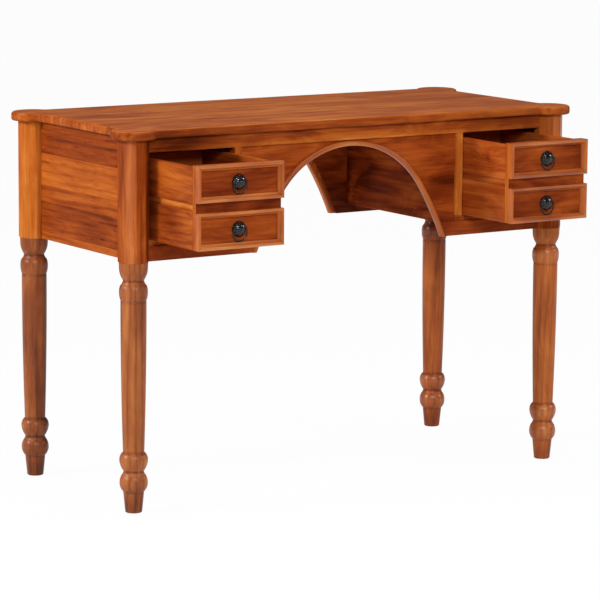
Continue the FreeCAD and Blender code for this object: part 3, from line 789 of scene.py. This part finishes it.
drawerShape = {"outer": 473.5, "bottom": 542.5, "top": 706.5, "panel": 72.0, "thick": 12.0,
               "proud": 12.0, "pull": 376.5, "sideTop": 703.0,
               "slideGroove": (617.5, 631.5), "slideDeep": 6.0,        # heights, then depth
               "bottomGroove": (548.3, 553.7), "bottomDeep": 5.2,
               "lowRound": 1.2, "topRound": 2.2, "grooveRound": 1.0, "mouldCrease": 24,
               "faces": {"left": -400.0, "right": -384.0}}
drawerShape["inner"] = 2 * drawerShape["pull"] - drawerShape["outer"]

# Moulding profile: (across from the outer edge, height off the board)
mouldProfile = np.concatenate([
    [(0.0, 0.0)],
    arcThrough((0.0, 10.6), (0.41, 11.59), (1.4, 12.0), 6),
    arcThrough((4.4, 12.0), (5.25, 11.75), (5.9, 11.0), 5),
    arcThrough((6.3, 10.2), (8.35, 7.05), (10.2, 4.9), 6),
    arcThrough((10.55, 4.4), (10.9, 4.05), (11.0, 3.5), 4),
    [(11.0, 0.0)],
])


# Four mitred strips: at each corner of the panel the profile stands on the diagonal,
# point = corner + across * (inX, inZ), and a strip joins two neighbouring corners
def mouldFrame(name, xLow, xHigh, zLow, zHigh, boardY):
    corners = np.array([(xLow, zLow, 1, 1), (xHigh, zLow, -1, 1),
                        (xHigh, zHigh, -1, -1), (xLow, zHigh, 1, -1)])
    across, proud = mouldProfile.T
    count = len(across)
    x = corners[:, :1] + corners[:, 2:3] * across
    z = corners[:, 1:2] + corners[:, 3:4] * across
    mitres = np.stack([x, np.broadcast_to(boardY - proud, x.shape), z], -1)
    ends = np.stack([mitres, np.roll(mitres, -1, 0)], 1)
    strips = [tubeFaces(2, count, strip * 2 * count) for strip in range(4)]
    made = makePiece(name, ends * mm, sum(strips, []), crease=drawerShape["mouldCrease"])
    paintFaces(made, np.repeat([0, 1, 0, 1], len(strips[0])))
    return made


# Drawer side: a board section (x, z) with the slide groove outside and the bottom's groove inside,
# carried along Y. A corner is (depth from the outer face, height, radius)
def drawerSide(name, sign, face, inward, yFront, yBack):
    shape = drawerShape
    low, high, thick = shape["bottom"], shape["sideTop"], shape["thick"]
    slideLow, slideHigh = shape["slideGroove"]
    grooveLow, grooveHigh = shape["bottomGroove"]
    slide, groove = shape["slideDeep"], thick - shape["bottomDeep"]
    corners = np.array([
        (0, low, shape["lowRound"]), (thick, low, shape["lowRound"]),
        (thick, grooveLow, 0), (groove, grooveLow, 0), (groove, grooveHigh, 0), (thick, grooveHigh, 0),
        (thick, high, shape["topRound"]), (0, high, shape["topRound"]),
        (0, slideHigh, shape["grooveRound"]), (slide, slideHigh, 0),
        (slide, slideLow, 0), (0, slideLow, shape["grooveRound"]),
    ])
    depth, height, radii = corners.T
    section = roundedOutline(np.stack([face + inward * depth, height], -1), radii)

    def place(outline, t):
        y = yFront + t * (yBack - yFront)
        return np.stack([sign * outline[:, 0], np.full(len(outline), y), outline[:, 1]], -1) * mm

    return carriedSection(name, section, place)


rosetteShape = {"radius": 15.8, "rim": 1.8, "height": 10.6, "petals": 8, "rows": 34, "turns": 128,
                "notch": 0.07,                             # share of the radius lost between petals
                "valley": 1.1, "valleyFrom": 0.64, "valleyWide": 0.38, "valleyPower": 1.5,
                "button": 1.0, "buttonWide": 0.20,
                "bulge": 0.8, "crease": 50}


# A petalled dome in polar form. c = |cos(4 turn)| is 1 on a petal's ridge and 0 between petals:
# rim radius = R (1 - notch (1 - c)^2),
# height = rim + cap (1 - q^2)^bulge - valley(q)(1 - c)^valleyPower + button(q)
def rosettePiece(name, x, boardY, z):
    shape = rosetteShape
    turn = np.linspace(0, fullTurn, shape["turns"], endpoint=False)
    ridge = np.abs(np.cos(turn * shape["petals"] / 2))
    share = np.linspace(0, 1, shape["rows"])[1:, None]
    radius = shape["radius"] * (1 - shape["notch"] * (1 - ridge) ** 2) * share
    cap = shape["height"] - shape["rim"] - shape["button"]
    within = np.clip((share - shape["valleyFrom"]) / shape["valleyWide"], 0, 1)
    valley = shape["valley"] * np.sin(math.pi * within) ** shape["bulge"]
    button = shape["button"] * np.sqrt(np.clip(1 - (share / shape["buttonWide"]) ** 2, 0, 1))
    height = shape["rim"] + cap * (1 - share ** 2) ** shape["bulge"] + button
    height = height - valley * (1 - ridge) ** shape["valleyPower"]
    height = np.concatenate([height, np.zeros((1, len(turn)))])
    radius = np.concatenate([radius, radius[-1:]])
    points = np.stack([x + radius * np.cos(turn), boardY - height, z + radius * np.sin(turn)], -1)
    points = np.concatenate([points.reshape(-1, 3), [[x, boardY - shape["height"], z]]])
    rows, cols = radius.shape
    faces = gridQuads(rows, cols, wrapCols=True).tolist()
    around = np.arange(cols)
    faces += np.stack([np.full(cols, rows * cols), around, (around + 1) % cols], -1).tolist()
    faces.append(list(range((rows - 1) * cols, rows * cols))[::-1])
    return makePiece(name, points * mm, faces, crease=shape["crease"])


ringShape = {"radius": 15.0, "wire": 1.35, "bend": 3.5, "side": 8.0, "reach": 6.0, "height": 7.0, "rise": 4.0,
             "lean": math.tan(math.radians(4.5)), "bendPoints": 8, "bowPoints": 41, "sides": 16, "crease": 60}


# The drop ring: a circle of the wire's radius carried along a U whose ends turn in to the rosette,
# leaning back to the board as it hangs
def ringPiece(name, x, boardY, z):
    shape = ringShape
    bend, wire, reach = shape["bend"], shape["wire"], shape["reach"]
    corner = wayOf(np.linspace(math.pi / 2, 0, shape["bendPoints"])) * bend + [shape["radius"] - bend, -bend]
    bow = wayOf(np.linspace(0, -math.pi, shape["bowPoints"])) * shape["radius"] - [0, bend + shape["side"]]
    path = np.concatenate([[(reach, 0)], corner, bow, (corner * [-1, 1])[::-1], [(-reach, 0)]])
    ahead = np.gradient(path, axis=0)
    ahead /= np.linalg.norm(ahead, axis=1, keepdims=True)
    beside = np.stack([-ahead[:, 1], ahead[:, 0]], -1)
    turn = np.linspace(0, fullTurn, shape["sides"], endpoint=False)
    off = wire * np.cos(turn)
    points = np.empty((len(path), len(turn), 3))
    points[..., 0] = x + path[:, None, 0] + beside[:, None, 0] * off
    points[..., 1] = boardY - shape["height"] + wire * np.sin(turn) - path[:, None, 1] * shape["lean"]
    points[..., 2] = z + shape["rise"] + path[:, None, 1] + beside[:, None, 1] * off
    return makePiece(name, points * mm, tubeFaces(*points.shape[:2]), crease=shape["crease"])


for sideName, sideSign in sideSigns.items():
    shape = drawerShape
    drawer = "drawer_" + sideName
    boardY = shape["faces"][sideName] + shape["proud"]
    inside = boardY + shape["thick"]
    boardFor(drawer + "_front", [panelWood, frontEndWood], boardRound["front"], drawer, "drawer_wood")
    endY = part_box(drawer + "_side_outer")[1][1] / mm
    for place, edge, inward in (("outer", shape["outer"], -1), ("inner", shape["inner"], 1)):
        side = drawerSide("%s_%s_side" % (drawer, place), sideSign, edge, inward, inside, endY)
        settle(side, drawerSideWoods[sideName], drawer, "drawer_wood", "%s_side_%s" % (drawer, place))
    xLow, xHigh = sorted((sideSign * shape["inner"], sideSign * shape["outer"]))
    for level, zLow in (("lower", shape["bottom"]), ("upper", shape["top"] - shape["panel"])):
        zHigh = zLow + shape["panel"]
        mould = mouldFrame("%s_%s_moulding" % (drawer, level), xLow, xHigh, zLow, zHigh, boardY)
        settle(mould, [mouldWoodXPaintedLight, mouldWoodZ], drawer, "drawer_wood", "%s_frame_%s" % (drawer, level))
        middle = (sideSign * shape["pull"], boardY, zLow + shape["panel"] / 2)
        rosette = rosettePiece("%s_%s_petals" % (drawer, level), *middle)
        settle(rosette, pullIron, drawer, "pull_black", "%s_rosette_%s" % (drawer, level))
        ring = ringPiece("%s_%s_drop" % (drawer, level), *middle)
        ringBody = "ring_%s_%s" % (sideName, level)
        settle(ring, pullIron, ringBody, "pull_black", "%s_ring_%s" % (drawer, level))
print("drawers made")


# CAD nodes that keep their own shape
keptLooks = {"front_apron": apronWood, "back_board": backWood, "frame_dowels": dowelWood,
             "top_screws": screwSteel, "runner_screws": screwSteel}
for sideName in sideSigns:
    keptLooks["pedestal_floor_" + sideName] = floorWood
    keptLooks["drawer_%s_back" % sideName] = drawerBackWoods[sideName]
    keptLooks["drawer_%s_bottom" % sideName] = drawerInsideWood
    keptLooks["drawer_%s_pull_screws" % sideName] = screwSteel
    for place in ("outer", "inner"):
        keptLooks["runner_%s_%s" % (sideName, place)] = runnerWood
for node, material in keptLooks.items():
    slots = nodes[node].material_slots
    if not len(slots):
        nodes[node].data.materials.append(material)
    for slot in slots:
        slot.material = material
print("kept nodes dressed:", len(keptLooks))


cameraView = {"yaw": -32.915, "pitch": 9.162, "roll": 0.412, "place": (-3.6550, -5.6722, 1.4437),
              "lens": 195.336, "sensor": 36.0}


# Stands a camera or a lamp at a place, looking away from back
def stand(name, data, across, up, back, place):
    made = bpy.data.objects.new(name, data)
    turned = np.eye(4)
    turned[:3] = np.stack([across, up, back, place], -1)
    made.matrix_world = Matrix(turned.tolist())
    scene.collection.objects.link(made)
    return made


def placeCamera(view):
    yaw, pitch, roll = (math.radians(view[key]) for key in ("yaw", "pitch", "roll"))
    back = np.array([math.sin(yaw) * math.cos(pitch), -math.cos(yaw) * math.cos(pitch), math.sin(pitch)])
    right = np.array([math.cos(yaw), math.sin(yaw), 0.0])
    up = np.cross(back, right)
    across = math.cos(roll) * right + math.sin(roll) * up
    above = -math.sin(roll) * right + math.cos(roll) * up
    lens = bpy.data.cameras.new("photoCamera")
    lens.sensor_fit = "HORIZONTAL"
    lens.sensor_width = view["sensor"]
    lens.lens = view["lens"]
    return stand("photoCamera", lens, across, above, back, view["place"])


scene.camera = placeCamera(cameraView)

# Lamps: place, aim, width, power in watts
lamps = {
    "keyLamp": ((-3.9, 0.75, 2.35), (-0.3, -0.2, 0.6), 0.9, 132.0),
    "cornerLamp": ((-2.2, -3.2, 2.3), (0, 0, 0.6), 0.4, 34.0),
    "overLamp": ((0.25, -0.75, 3.4), (0, 0, 0.7), 2.0, 38.0),
    "frontLamp": ((-0.8, -3.7, 2.1), (0, 0, 0.6), 0.8, 45.0),
    "rightLamp": ((3.4, -1.9, 1.9), (0, 0, 0.6), 0.6, 30.0),
}
for name, (spot, aim, width, power) in lamps.items():
    light = bpy.data.lights.new(name, "AREA")
    light.size = width
    light.energy = power
    toward = np.array(aim, float) - spot
    toward /= np.linalg.norm(toward)
    across = np.cross(toward, (0, 0, 1))
    across /= np.linalg.norm(across)
    stand(name, light, across, np.cross(across, toward), -toward, spot)


# 1 for what the camera, a mirror or glass sees directly, 0 for the light that falls on the object
def seenDirectly(tree):
    path = put(tree, "LightPath")
    seen = calc(tree, "MAXIMUM", path.outputs["Is Camera Ray"], path.outputs["Is Glossy Ray"])
    return calc(tree, "MAXIMUM", seen, path.outputs["Is Transmission Ray"])


white = (1, 1, 1, 1)
studio = {"soft": 0.16, "floorSize": 40.0, "floorGlow": 0.97, "floorTone": (0.86, 0.86, 0.86, 1)}
world = bpy.data.worlds.new("studioWorld")
scene.world = world
world.use_nodes = True
feed(world.node_tree, world.node_tree.nodes["Background"], {"Color": white, "Strength": studio["soft"]})

floorMesh = bpy.data.meshes.new("studioFloor")
edge = studio["floorSize"]
floorCorners = [(-edge, -edge, 0), (edge, -edge, 0), (edge, edge, 0), (-edge, edge, 0)]
floorMesh.from_pydata(floorCorners, [], [(0, 1, 2, 3)])
floor = bpy.data.objects.new("studioFloor", floorMesh)
scene.collection.objects.link(floor)
floorPaint, tree, _ = startMaterial("floorPaint")
matte = put(tree, "BsdfDiffuse", {"Color": studio["floorTone"]})
glow = put(tree, "Emission", {"Color": white, "Strength": 1.0})
share = calc(tree, "MULTIPLY", seenDirectly(tree), studio["floorGlow"])
mix = put(tree, "MixShader", {0: share, 1: matte.outputs[0], 2: glow.outputs[0]})
feed(tree, tree.nodes["Material Output"], {"Surface": mix.outputs[0]})
floorMesh.materials.append(floorPaint)
print("studio set")
